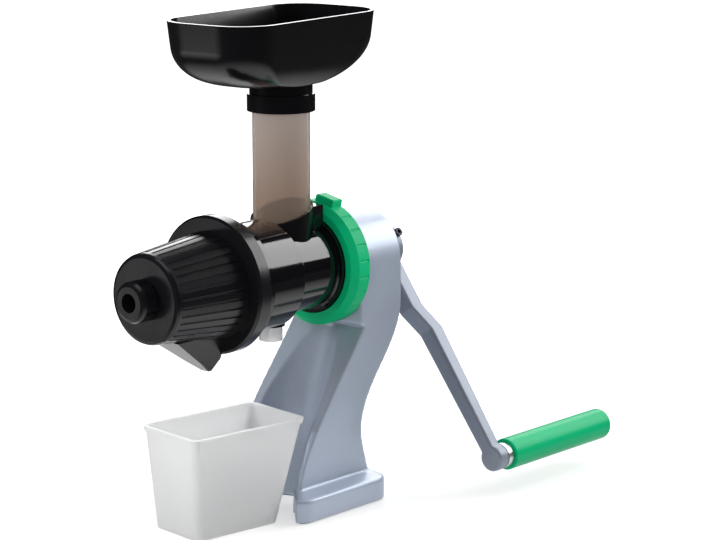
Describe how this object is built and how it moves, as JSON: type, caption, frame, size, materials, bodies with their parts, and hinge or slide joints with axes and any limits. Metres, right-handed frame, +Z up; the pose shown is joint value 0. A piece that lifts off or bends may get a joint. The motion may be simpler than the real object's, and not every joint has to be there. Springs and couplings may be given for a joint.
{
  "type": "manual wheatgrass juicer",
  "caption": "Table-top hand cranked auger juicer: cast stand, drum with screen and fluted cap, feed hopper, jogged crank and a juice cup.",
  "frame": {"origin": "on the table, on the rubber sole's underside, in the middle of the foot's width and under the column", "axes": "+Z up; the drum's axis runs along Y with the outlet at -Y and the crank at +Y; the crank stands towards +X at rest"},
  "size_m": [0.1545, 0.3584, 0.32],
  "materials": {
    "cast_metal": "silver-grey painted casting",
    "crank_metal": "silver-grey painted casting, satin",
    "rubber": "matt black rubber",
    "bearing_bronze": "sintered bronze",
    "steel": "stainless steel",
    "black_steel": "black oxide steel",
    "green_plastic": "green moulded plastic",
    "black_plastic": "gloss black moulded plastic",
    "hopper_plastic": "gloss black moulded plastic",
    "cap_plastic": "satin black moulded plastic",
    "auger_plastic": "black glass-filled plastic",
    "smoke_plastic": "smoke coloured translucent plastic",
    "clear_plastic": "milky translucent plastic",
    "cup_plastic": "milky translucent plastic"
  },
  "bodies": {
    "base": {"stand": "cast_metal", "rubber_sole": "rubber", "front_bush": "bearing_bronze", "rear_bush": "bearing_bronze", "drum_seal": "rubber", "drum": "black_plastic", "feed_tube": "smoke_plastic", "drain_spout": "clear_plastic", "screen": "steel", "screen_rim": "black_plastic"},
    "crank": {"drive_shaft": "steel", "thrust_washer": "bearing_bronze", "retaining_clip": "steel", "crank_arm": "crank_metal", "set_screw": "black_steel", "auger": "auger_plastic", "drive_tip": "steel", "grip_spindle": "steel", "grip_collar": "steel"},
    "handle": {"grip": "green_plastic", "grip_plug": "green_plastic"},
    "ring": {"lock_ring": "green_plastic"},
    "cap": {"end_cap": "cap_plastic", "cap_seal": "rubber"},
    "knob": {"outlet_knob": "cap_plastic"},
    "hopper": {"hopper": "hopper_plastic"},
    "cup": {"juice_cup": "cup_plastic"}
  },
  "joints": [
    {"name": "crank_turn", "type": "hinge", "parent": "base", "child": "crank", "pos_m": [0, 0.04, 0.155], "axis": [0, 1, 0], "continuous": true},
    {"name": "grip_spin", "type": "hinge", "parent": "crank", "child": "handle", "pos_m": [0.09497, 0.14, 0.025], "axis": [0, 1, 0], "continuous": true},
    {"name": "ring_turn", "type": "hinge", "parent": "base", "child": "ring", "pos_m": [0, 0.007, 0.155], "axis": [0, 1, 0], "range_deg": [0, 42]},
    {"name": "cap_turn", "type": "hinge", "parent": "base", "child": "cap", "pos_m": [0, -0.088, 0.155], "axis": [0, 1, 0], "range_deg": [0, 40]},
    {"name": "knob_turn", "type": "hinge", "parent": "cap", "child": "knob", "pos_m": [0, -0.155, 0.155], "axis": [0, 1, 0], "range_deg": [0, 270]},
    {"name": "hopper_lift", "type": "slide", "parent": "base", "child": "hopper", "axis": [0, 0, 1], "range_m": [0, 0.04]},
    {"name": "cup_slide", "type": "slide", "parent": "base", "child": "cup", "axis": [0, -1, 0], "range_m": [0, 0.1]}
  ]
}
